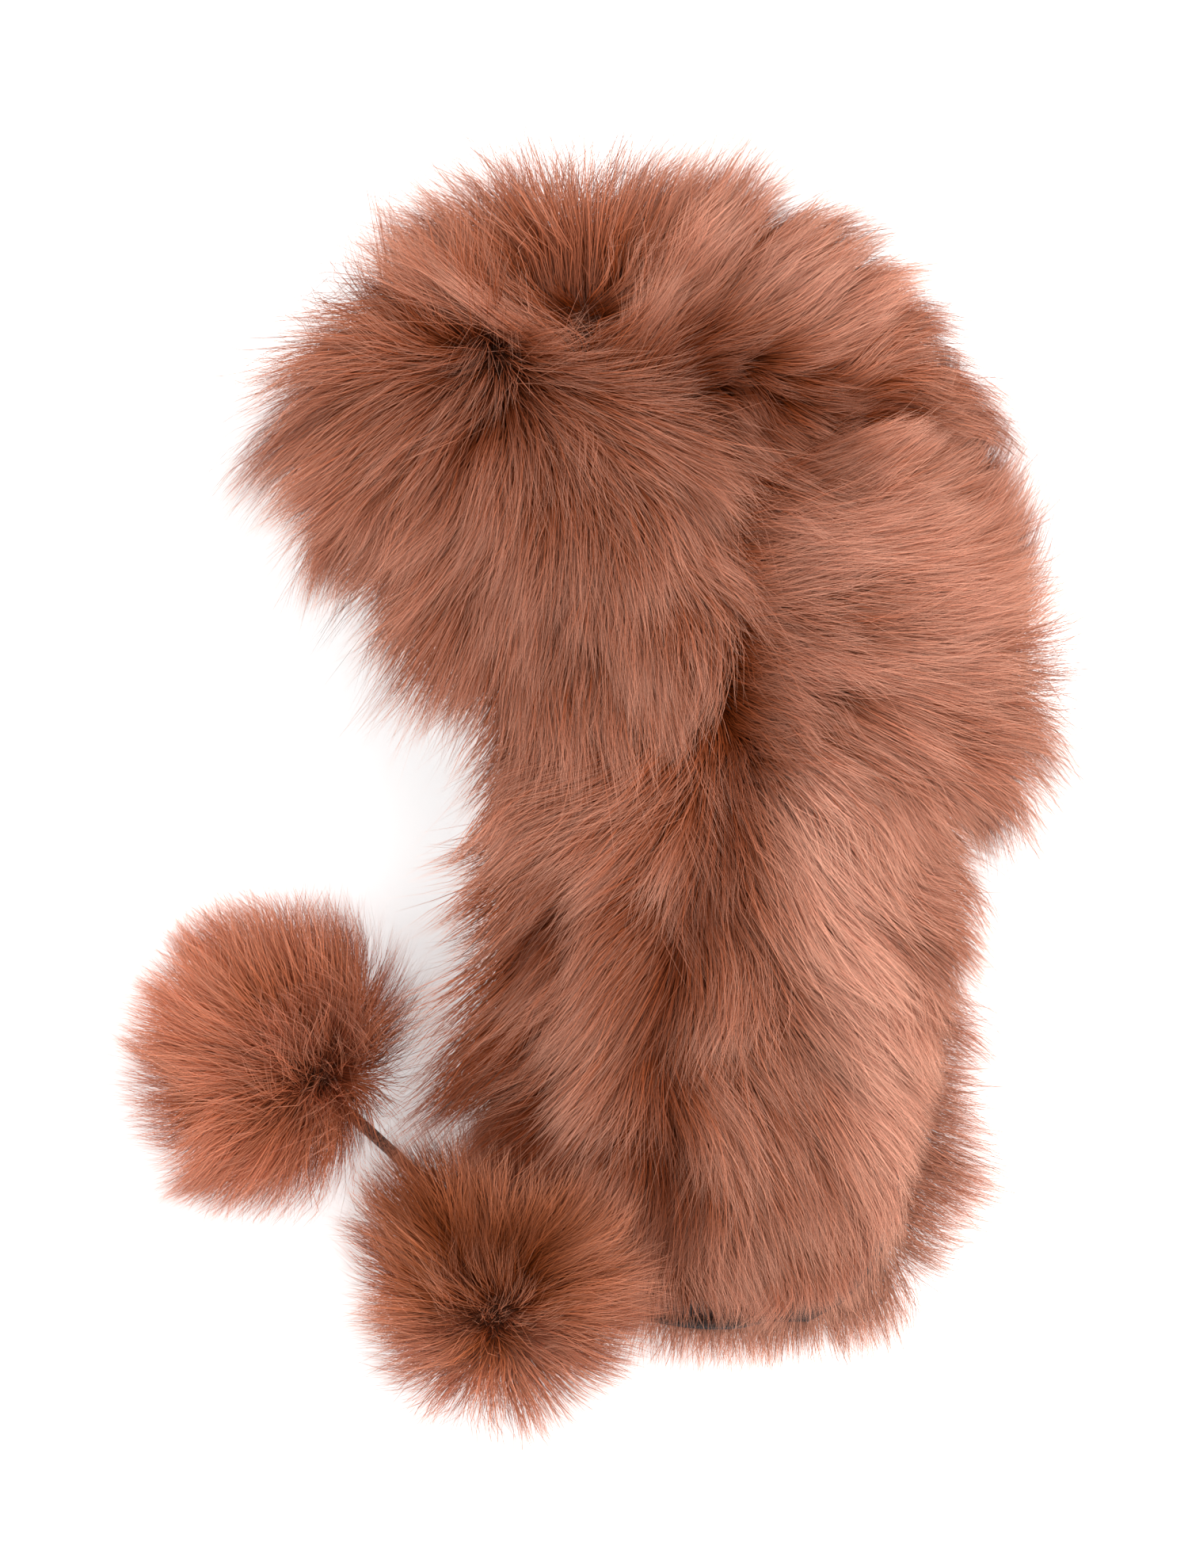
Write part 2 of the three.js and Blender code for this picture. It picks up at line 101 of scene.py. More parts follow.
def cord_tube(name, route, radius, sides=12):
    """A round cord with closed ends, and a UV map that runs round and along it in millimetres."""
    path = smooth_route(route)
    along = np.gradient(path, axis=0)
    along /= np.linalg.norm(along, axis=1)[:, None]
    across = np.cross(along, (0, 0, 1.0))
    across /= np.linalg.norm(across, axis=1)[:, None]
    lift = np.cross(across, along)
    turn = np.linspace(0, 2 * np.pi, sides, endpoint=False)
    ring = (np.cos(turn)[None, :, None] * across[:, None]
            + np.sin(turn)[None, :, None] * lift[:, None])
    points = (path[:, None] + radius * ring).reshape(-1, 3)
    run = np.concatenate([[0], np.cumsum(np.linalg.norm(np.diff(path, axis=0), axis=1))])
    faces = []
    uvs = []
    for row in range(len(path) - 1):
        for side in range(sides):
            after = (side + 1) % sides
            faces.append((row * sides + side, (row + 1) * sides + side,
                          (row + 1) * sides + after, row * sides + after))
            left, right = side / sides, (side + 1) / sides
            low, high = run[row], run[row + 1]
            uvs += [(left, low), (left, high), (right, high), (right, low)]
    faces.append(range(sides))
    faces.append(range(len(points) - 1, len(points) - sides - 1, -1))
    uvs += [(0.5, 0.0)] * sides + [(0.5, run[-1])] * sides
    piece = mesh_piece(name, points, faces)
    layer = piece.data.uv_layers.new(name="braid")
    layer.data.foreach_set("uv", np.array(uvs, np.float32).ravel())
    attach(piece, "root")
    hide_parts(name.replace("_braid", ""))
    return piece, path, run[-1]


cord_left, left_path, left_length = cord_tube(
    "cord_left_braid", LEFT_CORD_ROUTE, CORD_DIAMETER / 2)
cord_right, right_path, right_length = cord_tube(
    "cord_right_braid", RIGHT_CORD_ROUTE, CORD_DIAMETER / 2)

# ---------------------------------------------------------------- the hide's form

# The hide is shaped round a head that lies on its side. The head's middle is a height above the
# floor. It reaches front, back and half to each side, as an oval of this squareness, and its dome
# springs from a height up the hat. The crown's rim is cut higher at the brow.
SQUARENESS = 2.4
HEAD = {"middle": 67.0, "front": 95.0, "back": 93.0, "half": 50.0, "rim": 24.0, "brow_rim": 80.0,
        "brow_from": 0.42, "spring": 90.0, "dome": 76.0, "taper": 9.0}
# The brow flap and the band are panels round it, from one angle to another, from low to high
BROW = {"dome": 100.0, "half": 97.0, "over_rim": 4.0, "high": 146.0, "low_rise": 4.0, "fall": 44.0}
BAND = {"start": 98.0, "end": 262.0, "low": -5.0, "high": 118.0, "fall": 30.0}
# Rows of an ear flap: height up the hat, front edge, back edge, and how far it follows the head
LEFT_FLAP_ROWS = np.array([
    (-176, 0, 38, 0), (-167, -18, 53, 0), (-148, -37, 66, 0.05), (-122, -47, 76, 0.22),
    (-84, -51, 82, 0.5), (-40, -50, 85, 0.8), (0, -49, 85, 0.96), (23.6, -50, 84, 1),
], float)
RIGHT_FLAP_ROWS = np.array([
    (-186, 12, 50, 0), (-177, -4, 65, 0), (-154, -18, 78, 0), (-116, -26, 84, 0.05),
    (-60, -30, 80, 0.3), (0, -34, 76, 0.85), (23.6, -36, 76, 1),
], float)
LEFT_FLAP_LEVEL = 19.6
RIGHT_FLAP_LEVEL = 12.0
# A dome's wall stops this share of the way up, and a face closes it
DOME_TOP = 0.985
# No wall comes closer to the floor than this
ABOVE_FLOOR = 0.2


def signed_power(value, power):
    return np.sign(value) * np.abs(value) ** power


def mix(low, high, share):
    return low + (high - low) * share


def smooth_step(value, low, high):
    share = np.clip((value - low) / (high - low), 0, 1)
    return share * share * (3 - 2 * share)


def unit(vectors):
    return vectors / np.maximum(np.linalg.norm(vectors, axis=-1, keepdims=True), 1e-9)


def rows_at(rows, y):
    """The columns of a table of rows at any height, on smooth curves."""
    heights = rows[:, 0]
    last = len(heights) - 1
    index = np.clip(np.searchsorted(heights, y, side="right") - 1, 0, last - 1)
    before, low = rows[np.maximum(index - 1, 0)], rows[index]
    high, after = rows[index + 1], rows[np.minimum(index + 2, last)]
    span = (high[:, :1] - low[:, :1])
    t = np.clip((y[:, None] - low[:, :1]) / span, 0, 1)
    start = (high[:, 1:] - before[:, 1:]) / (high[:, :1] - before[:, :1]) * span
    end = (after[:, 1:] - low[:, 1:]) / (after[:, :1] - low[:, :1]) * span
    return (low[:, 1:] * (1 + 2 * t) * (1 - t) ** 2 + start * t * (1 - t) ** 2
            + high[:, 1:] * t * t * (3 - 2 * t) + end * t * t * (t - 1))


def head_point(degrees, y, dome=HEAD["dome"]):
    """A place on the head, by its angle from the brow and its height up the hat."""
    angle = np.radians(degrees)
    rise = np.maximum(0, (y - HEAD["spring"]) / dome)
    size = np.sqrt(np.maximum(0, 1 - rise * rise))
    drop = np.maximum(0, (HEAD["spring"] - y) / (HEAD["spring"] - HEAD["rim"]))
    front = HEAD["front"] - HEAD["taper"] * drop * drop
    reach = np.where(np.cos(angle) > 0, front, HEAD["back"])
    x = -reach * size * signed_power(np.cos(angle), 2 / SQUARENESS)
    z = HEAD["middle"] + HEAD["half"] * size * signed_power(np.sin(angle), 2 / SQUARENESS)
    return np.stack([x, y, z], axis=-1)


def rim_at(degrees):
    """The crown's sewn edge, cut higher at the brow."""
    share = smooth_step(np.cos(np.radians(degrees)), HEAD["brow_from"], 1)
    return mix(HEAD["rim"], HEAD["brow_rim"], share)


def head_side(x):
    """How far the head reaches to its side, by the place from front to back."""
    across = np.minimum(1, np.abs(x) / np.where(x < 0, HEAD["front"], HEAD["back"]))
    return HEAD["half"] * (1 - across ** SQUARENESS) ** (1 / SQUARENESS)


def crown_surface(u, v, straight=0.4):
    """Round the crown by u, and by v up its straight part and then over its dome."""
    turn = np.where(v < straight, v / straight, 1 + (v - straight) / (1 - straight))
    y = np.where(turn < 1, mix(rim_at(u * 360), HEAD["spring"], turn),
                 HEAD["spring"] + HEAD["dome"] * np.sin((turn - 1) * np.pi / 2))
    return head_point(u * 360, y)


def brow_surface(u, v):
    side = 2 * u - 1
    low = rim_at(side * BROW["half"]) + BROW["over_rim"] + BROW["low_rise"] * side ** 4
    high = BROW["high"] - BROW["fall"] * np.abs(side) ** 3
    return head_point(side * BROW["half"], mix(low, high, v), BROW["dome"])


def band_surface(u, v):
    side = 2 * u - 1
    high = BAND["high"] - BAND["fall"] * side * side
    return head_point(mix(BAND["start"], BAND["end"], u), mix(BAND["low"], high, v))


def left_flap_surface(u, v):
    y = mix(LEFT_FLAP_ROWS[0, 0], LEFT_FLAP_ROWS[-1, 0], v)
    front, back, follow = rows_at(LEFT_FLAP_ROWS, y).T
    x = mix(front, back, u)
    z = mix(LEFT_FLAP_LEVEL, HEAD["middle"] + head_side(x), follow)
    return np.stack([x, y, z], axis=-1)


def left_lining_surface(u, v):
    """The near flap's lining, which comes out a little past the flap's lower edge."""
    return left_flap_surface(u, v - 0.03 * np.maximum(0, 1 - v * 9))


def right_flap_surface(u, v):
    y = mix(RIGHT_FLAP_ROWS[0, 0], RIGHT_FLAP_ROWS[-1, 0], v)
    front, back, follow = rows_at(RIGHT_FLAP_ROWS, y).T
    x = mix(back, front, u)
    z = mix(RIGHT_FLAP_LEVEL, HEAD["middle"] - head_side(x), follow)
    return np.stack([x, y, z], axis=-1)


def outward(surface, u, v):
    """Direction away from the hide, and the area that one step of u and v covers."""
    step = 0.004
    inside = np.clip(v, step, DOME_TOP)
    along = surface(u + step, inside) - surface(u - step, inside)
    up = surface(u, inside + step) - surface(u, inside - step)
    normal = np.cross(along, up)
    area = np.linalg.norm(normal, axis=1)
    return normal / np.maximum(area, 1e-9)[:, None], area


def wall(surface, grid, depths, closed=False):
    """Points and faces of a sheet over a surface. grid gives its columns and rows, and depths how
    far its inner and outer face lie out from it. A closed one runs all round and has a top."""
    columns, rows = grid
    inner, outer = depths
    count = columns if closed else columns + 1
    u, v = np.meshgrid(np.arange(count) / columns,
                       np.linspace(0, DOME_TOP if closed else 1, rows + 1))
    u, v = u.ravel(), v.ravel()
    normal, _ = outward(surface, u, v)
    middle = surface(u, v)
    points = [middle + normal * outer, middle + normal * inner]
    faces = []
    layer = len(u)
    for row in range(rows):
        for column in range(columns):
            a = row * count + column
            b = row * count + (column + 1) % count
            c, d = b + count, a + count
            faces += [(a, b, c, d), (layer + d, layer + c, layer + b, layer + a)]
    for column in range(columns):
        a, b = column, (column + 1) % count
        faces.append((layer + a, layer + b, b, a))
        if not closed:
            c, d = rows * count + a, rows * count + b
            faces.append((c, d, layer + d, layer + c))
    if closed:
        for start, turned in ((0, False), (layer, True)):
            ring = [start + rows * count + column for column in range(columns)]
            faces.append(ring[::-1] if turned else ring)
    else:
        for row in range(rows):
            a, d = row * count, (row + 1) * count
            faces.append((a, d, layer + d, layer + a))
            b, c = a + columns, d + columns
            faces.append((layer + b, layer + c, c, b))
    return np.vstack(points), faces


# ---------------------------------------------------------------- finishes

# A hair's root colour is gone 1 / ROOT_FADE of the way along, and its pale tip is kept to its end.
# Hairs and whole locks differ in brightness.
ROOT_FADE = 2.2
TIP_POWER = 3.3
HAIR_CONTRAST = 0.85
LOCK_CONTRAST = 0.46
LEAST_BRIGHT = 0.37
# How far a painted highlight, where Deep is below 0, pulls a hair towards its tip colour
PAINTED_HIGHLIGHT = 0.6
HAIR_GLOSS = 0.06
BRAID_STRANDS = 6
BRAID_PITCH = 2.1
WEAVE_SCALE = 380

def group_sockets(group, ins, outs):
    for name, kind, value in ins:
        socket = group.interface.new_socket(name, in_out="INPUT", socket_type=kind)
        socket.default_value = value
    for name, kind in outs:
        group.interface.new_socket(name, in_out="OUTPUT", socket_type=kind)
    return group.nodes.new("NodeGroupInput"), group.nodes.new("NodeGroupOutput")


def maths(tree, operation, first, second=None, third=None):
    node = tree.nodes.new("ShaderNodeMath")
    node.operation = operation
    for index, value in enumerate((first, second, third)):
        if value is None:
            continue
        if isinstance(value, (int, float)):
            node.inputs[index].default_value = value
        else:
            tree.links.new(value, node.inputs[index])
    return node.outputs[0]


def colour_mix(tree, blend, share, first, second):
    node = tree.nodes.new("ShaderNodeMix")
    node.data_type = "RGBA"
    node.blend_type = blend
    factor, low, high = node.inputs[0], node.inputs[6], node.inputs[7]
    for socket, value in ((factor, share), (low, first), (high, second)):
        if isinstance(value, (int, float, tuple)):
            socket.default_value = value
        else:
            tree.links.new(value, socket)
    return node.outputs[2]


def make_hair_tone():
    """A hair's colour, by the place along it, its own tone, its lock's tone and Deep: painted shade
    where Deep is above 0, painted highlight where it is below 0.
    """
    group = bpy.data.node_groups.new("hair_tone", "ShaderNodeTree")
    start, end = group_sockets(
        group,
        [("Along", "NodeSocketFloat", 0.5), ("Hair", "NodeSocketFloat", 0.5),
         ("Lock", "NodeSocketFloat", 0.5), ("Deep", "NodeSocketFloat", 0.0),
         ("Root", "NodeSocketColor", (0.1, 0.03, 0.01, 1)),
         ("Middle", "NodeSocketColor", (0.4, 0.15, 0.1, 1)),
         ("Tip", "NodeSocketColor", (0.7, 0.4, 0.3, 1))],
        [("Colour", "NodeSocketColor")])
    along, deep = start.outputs["Along"], start.outputs["Deep"]
    low = maths(group, "SMOOTH_MIN", maths(group, "MULTIPLY", along, ROOT_FADE), 1.0, 0.15)
    # Painted highlight: Deep below 0 mixes the hair towards its tip colour
    pale = maths(group, "MAXIMUM", maths(group, "MULTIPLY", deep, -PAINTED_HIGHLIGHT), 0.0)
    high = maths(group, "ADD", maths(group, "POWER", along, TIP_POWER), pale)
    high = maths(group, "MINIMUM", high, 1.0)
    lower = colour_mix(group, "MIX", low, start.outputs["Root"], start.outputs["Middle"])
    whole = colour_mix(group, "MIX", high, lower, start.outputs["Tip"])
    shift = maths(group, "ADD", maths(group, "MULTIPLY", start.outputs["Hair"], HAIR_CONTRAST),
                  maths(group, "MULTIPLY", start.outputs["Lock"], LOCK_CONTRAST))
    bright = maths(group, "ADD", shift, LEAST_BRIGHT)
    # Deep above 0 mixes the hair towards its root colour, more near the root than at the tip:
    # painted shade, and in partings the roots' own dark colour
    dark = maths(group, "MULTIPLY", maths(group, "MAXIMUM", deep, 0.0),
                 maths(group, "MULTIPLY_ADD", along, -0.3, 1.15))
    whole = colour_mix(group, "MIX", dark, whole, start.outputs["Root"])
    toned = group.nodes.new("ShaderNodeVectorMath")
    toned.operation = "SCALE"
    group.links.new(whole, toned.inputs[0])
    group.links.new(bright, toned.inputs["Scale"])
    group.links.new(toned.outputs[0], end.inputs["Colour"])
    return group


def new_material(name):
    material = bpy.data.materials.new(name)
    material.use_nodes = True
    tree = material.node_tree
    return material, tree, tree.nodes["Principled BSDF"]


def hair_material(name, tones, root, middle, tip):
    """Matt hair, whose colour comes from the facts that each hair carries."""
    material, tree, shader = new_material(name)
    facts = tree.nodes.new("ShaderNodeAttribute")
    facts.attribute_name = "hair"
    split = tree.nodes.new("ShaderNodeSeparateColor")
    tree.links.new(facts.outputs["Color"], split.inputs[0])
    tone = tree.nodes.new("ShaderNodeGroup")
    tone.node_tree = tones
    tree.links.new(split.outputs[0], tone.inputs["Along"])
    tree.links.new(split.outputs[1], tone.inputs["Hair"])
    tree.links.new(split.outputs[2], tone.inputs["Lock"])
    tree.links.new(facts.outputs["Alpha"], tone.inputs["Deep"])
    tone.inputs["Root"].default_value = (*root, 1)
    tone.inputs["Middle"].default_value = (*middle, 1)
    tone.inputs["Tip"].default_value = (*tip, 1)
    tree.links.new(tone.outputs["Colour"], shader.inputs["Base Color"])
    gloss = maths(tree, "MULTIPLY_ADD", split.outputs[1], 0.2, 0.5)
    tree.links.new(gloss, shader.inputs["Roughness"])
    shader.inputs["Specular IOR Level"].default_value = HAIR_GLOSS
    return material


def object_noise(tree, scale, detail=3.0):
    place = tree.nodes.new("ShaderNodeTexCoord")
    noise = tree.nodes.new("ShaderNodeTexNoise")
    noise.inputs["Scale"].default_value = scale
    noise.inputs["Detail"].default_value = detail
    tree.links.new(place.outputs["Object"], noise.inputs["Vector"])
    return noise.outputs["Fac"]


def bump(tree, shader, height, distance, strength=0.6):
    node = tree.nodes.new("ShaderNodeBump")
    node.inputs["Distance"].default_value = distance
    node.inputs["Strength"].default_value = strength
    tree.links.new(height, node.inputs["Height"])
    tree.links.new(node.outputs["Normal"], shader.inputs["Normal"])


def underfur_material():
    """The felted down close to the hide, seen only deep between the locks."""
    material, tree, shader = new_material("underfur")
    fine = object_noise(tree, 900, 4)
    broad = object_noise(tree, 60, 2)
    base = colour_mix(tree, "MIX", fine, (0.045, 0.012, 0.005, 1), (0.16, 0.05, 0.025, 1))
    base = colour_mix(tree, "MIX", broad, base, (0.09, 0.026, 0.012, 1))
    tree.links.new(base, shader.inputs["Base Color"])
    tree.links.new(maths(tree, "MULTIPLY_ADD", fine, 0.2, 0.75), shader.inputs["Roughness"])
    shader.inputs["Specular IOR Level"].default_value = 0.15
    bump(tree, shader, fine, 0.0012)
    return material


def lining_material():
    """Plain black lining cloth with its weave and a faint gloss."""
    material, tree, shader = new_material("black_lining")
    place = tree.nodes.new("ShaderNodeTexCoord")
    weave = []
    for axis in ("X", "Y"):
        wave = tree.nodes.new("ShaderNodeTexWave")
        wave.bands_direction = axis
        wave.inputs["Scale"].default_value = WEAVE_SCALE
        wave.inputs["Distortion"].default_value = 0.6
        tree.links.new(place.outputs["Object"], wave.inputs["Vector"])
        weave.append(wave.outputs["Fac"])
    threads = maths(tree, "MULTIPLY", weave[0], weave[1])
    creases = object_noise(tree, 45, 3)
    base = colour_mix(tree, "MIX", threads, (0.008, 0.007, 0.0075, 1), (0.03, 0.027, 0.028, 1))
    tree.links.new(base, shader.inputs["Base Color"])
    tree.links.new(maths(tree, "MULTIPLY_ADD", threads, -0.15, 0.55), shader.inputs["Roughness"])
    shader.inputs["Sheen Weight"].default_value = 0.15
    height = maths(tree, "ADD", maths(tree, "MULTIPLY", threads, 0.25), creases)
    bump(tree, shader, height, 0.0008, 0.5)
    return material


def cord_material():
    """Dark braid: threads that cross round the cord, from its own UV map."""
    material, tree, shader = new_material("braided_cord")
    around = tree.nodes.new("ShaderNodeUVMap")
    around.uv_map = "braid"
    split = tree.nodes.new("ShaderNodeSeparateXYZ")
    tree.links.new(around.outputs["UV"], split.inputs[0])
    turns = maths(tree, "MULTIPLY", split.outputs["X"], BRAID_STRANDS * 2 * math.pi)
    run = maths(tree, "MULTIPLY", split.outputs["Y"], 2 * math.pi / BRAID_PITCH)
    left = maths(tree, "SINE", maths(tree, "ADD", turns, run))
    right = maths(tree, "SINE", maths(tree, "SUBTRACT", turns, run))
    strands = maths(tree, "MAXIMUM", left, right)
    share = maths(tree, "MULTIPLY_ADD", strands, 0.5, 0.5)
    base = colour_mix(tree, "MIX", share, (0.006, 0.004, 0.004, 1), (0.026, 0.014, 0.011, 1))
    tree.links.new(base, shader.inputs["Base Color"])
    tree.links.new(maths(tree, "MULTIPLY_ADD", share, -0.2, 0.75), shader.inputs["Roughness"])
    bump(tree, shader, share, 0.0004, 0.8)
    return material


hair_tones = make_hair_tone()
hat_hair = hair_material("hat_fur", hair_tones, root=(0.13, 0.021, 0.003),
                         middle=(0.31, 0.065, 0.0165), tip=(0.8, 0.41, 0.29))
dark_pompom = hair_material("dark_pompom_fur", hair_tones, root=(0.19, 0.037, 0.007),
                            middle=(0.45, 0.12, 0.04), tip=(0.78, 0.36, 0.24))
pale_pompom = hair_material("pale_pompom_fur", hair_tones, root=(0.38, 0.1, 0.036),
                            middle=(0.53, 0.157, 0.067), tip=(0.83, 0.4, 0.28))
underfur = underfur_material()
black_lining = lining_material()
braided_cord = cord_material()
for piece in (cord_left, cord_right):
    piece.data.materials.append(braided_cord)

# ---------------------------------------------------------------- how the hair lies

# Each flow is a direction in the plane that the hat lies on, by the place of the hair in it.


def turned(degrees_from_down):
    """Directions from angles: 0 is down to the flaps' ends, positive turns to the back."""
    angle = np.radians(degrees_from_down)
    return np.stack([np.sin(angle), -np.cos(angle), np.zeros(len(angle))], axis=-1)


def waves(at, seed, spans=(24, 33, 46, 64)):
    """A smooth random value over the hat, about -1 to 1, from a few crossing waves."""
    rng = np.random.default_rng(seed)
    value = np.zeros(len(at))
    for span in spans:
        for _ in range(2):
            heading = unit(rng.normal(0, 1, 3))
            value += np.sin(at @ heading * 2 * np.pi / span + rng.uniform(0, 2 * np.pi))
    return value / math.sqrt(2 * len(spans))


BROW_WHORL = np.array([-63.0, 137.0])
CROWN_HOLLOW = np.array([-26.0, 154.0])
DRIFT = 15.0  # degrees that the hair wanders off its flow


def brow_flow(at):
    """Away from the whorl, and lower down fanned out from front to back."""
    from_whorl = at[:, :2] - BROW_WHORL
    radial = np.degrees(np.arctan2(from_whorl[:, 0], -from_whorl[:, 1]))
    low = np.clip(0.75 * (at[:, 0] + 31), -46, 4 + 24 * smooth_step(at[:, 1], 30, 80))
    share = 0.85 * smooth_step(-from_whorl[:, 1], 10, 80)
    return turned(mix(radial, low, share) + DRIFT * waves(at, 1))


def crown_flow(at):
    """Up and out over the dome, round a hollow, and down in the patch beside the brow flap."""
    places = [-90, -60, -25, 10, 40, 80, 110]
    from_up = np.interp(at[:, 0], places, [-62, -40, -6, 24, 46, 66, 76])
    from_up = from_up + 55 * smooth_step(138 - at[:, 1], 0, 34) * smooth_step(at[:, 0], -40, 30)
    patch = np.exp(-(((at[:, 0] - 26) / 26) ** 2 + ((at[:, 1] - 116) / 22) ** 2))
    patch = patch * (at[:, 2] > 90)
    from_up = mix(from_up, 148, patch)
    from_hollow = at[:, :2] - CROWN_HOLLOW
    radial = np.degrees(np.arctan2(from_hollow[:, 0], from_hollow[:, 1]))
    around = np.exp(-np.sum(from_hollow ** 2, axis=1) / 24 ** 2)
    around = around * smooth_step(162 - at[:, 1], 0, 14) * (at[:, 2] > 95)
    return turned(180 - mix(from_up, radial, around) + DRIFT * waves(at, 2))


def band_flow(at):
    """Back and out round the nape, steeper the higher up it grows."""
    heights = [-13, 6, 28, 52, 83, 107, 122]
    angles = [-58, -42, -14, 12, 27, 26, 22]
    degrees = np.interp(at[:, 1], heights, angles) + 0.24 * (at[:, 0] - 77)
    under = smooth_step(HEAD["middle"] - at[:, 2], 0, 30)
    return turned(mix(degrees, np.minimum(degrees, 10), under) + 90 + DRIFT * waves(at, 3))


def left_flap_flow(at):
    """Down and out to both sides of a parting."""
    parting = np.interp(at[:, 1], [-190, -125, -86, -47, -8, 31], [7, 4, 0, 12, 23, 18])
    off = at[:, 0] - parting
    fall = mix(0.14, 1, smooth_step(at[:, 1], -168, -105))
    side = np.where(off < 0, -50.0, 38.0)
    return turned(side * np.tanh(np.abs(off) / 20) * fall + DRIFT * waves(at, 4))


def right_flap_flow(at):
    """Down and out from the middle of the far flap."""
    off = at[:, 0] - 26
    fall = mix(0.4, 1, smooth_step(at[:, 1], -185, -120))
    return turned(58 * np.tanh(off / 34) * fall + 0.6 * DRIFT * waves(at, 5))


# ---------------------------------------------------------------- growing the hair

SEGMENTS = 3
# Roots are tried at even steps over a surface, and more are tried than grow
EVEN_STEPS = (0.7548776662466927, 0.5698402909980532)
TRIES_PER_HAIR = 7
# Some hairs are longer guard hairs, and a few stray from their lock
GUARD_SHARE = 0.22
GUARD_LENGTH = 1.18
LOOSE_SHARE = 0.06
# Axis, the place from which hair is held back, and the room that is left for it
ROOM_FOR_HAIR = ((0, 134, 16), (1, 212, 15), (2, 150, 16))


def scatter(surface, count, seed, keep):
    """Even roots over a surface. keep gives the share of them that stays at each place."""
    rng = np.random.default_rng(seed)
    tries = count * TRIES_PER_HAIR
    order = np.arange(tries)
    u = (0.5 + order * EVEN_STEPS[0]) % 1
    v = (0.5 + order * EVEN_STEPS[1]) % 1
    normal, area = outward(surface, u, v)
    root = surface(u, v)
    weight = area * keep(root, normal, u, v)
    chance = weight / weight.max()
    chance *= count / chance.sum()
    chosen = np.flatnonzero(rng.random(tries) < chance)
    return root[chosen], normal[chosen], u[chosen], v[chosen]


def seen_from_above(normal, least=0.3):
    """The share of hair that a place has: fewest where it faces the floor."""
    return mix(least, 1.0, smooth_step(normal[:, 2], -0.5, 0.3))


def nearest(roots, guides):
    """The guide hair that each hair grows nearest to."""
    tree = kdtree.KDTree(len(guides))
    for index, place in enumerate(roots[guides]):
        tree.insert(place, index)
    tree.balance()
    return guides[np.array([tree.find(place)[1] for place in roots])]


def hair_paths(root, normal, flow, length, lift, rng, stray, free):
    """The line of each hair: out of the hide, then over along the flow, lower towards its tip.
    Free hair stands straight out where the flow leads off the surface."""
    count = len(root)
    paths = np.empty((count, SEGMENTS + 1, 3))
    paths[:, 0] = root
    sway = np.radians(rng.normal(0, stray, count))
    curl = np.radians(rng.normal(0, 0.6 * stray, count))
    lean = np.sqrt(1 - lift ** 2)
    for step in range(SEGMENTS):
        t = (step + 0.5) / SEGMENTS
        plane = flow(paths[:, step])
        tangent = plane - normal * np.sum(plane * normal, axis=1)[:, None]
        if not free:
            tangent = unit(tangent)
        angle = (sway + curl * t)[:, None]
        tangent = tangent * np.cos(angle) + np.cross(normal, tangent) * np.sin(angle)
        heading = (normal * (lift * (1.45 - 0.9 * t))[:, None]
                   + tangent * (lean * (0.52 + 0.96 * t))[:, None])
        paths[:, step + 1] = paths[:, step] + unit(heading) * (length / SEGMENTS)[:, None]
    return paths


def gather(paths, guides, lengths, strength):
    """Draw the hairs of each lock together towards their tips. Each keeps its own length."""
    reach = strength * np.linspace(0, 1, paths.shape[1])[None, :] ** 1.2
    lead = paths[guides]
    share = (lengths / lengths[guides])[:, None, None]
    target = lead[:, :1] + (lead - lead[:, :1]) * share
    return paths + (target - paths) * reach[:, :, None]


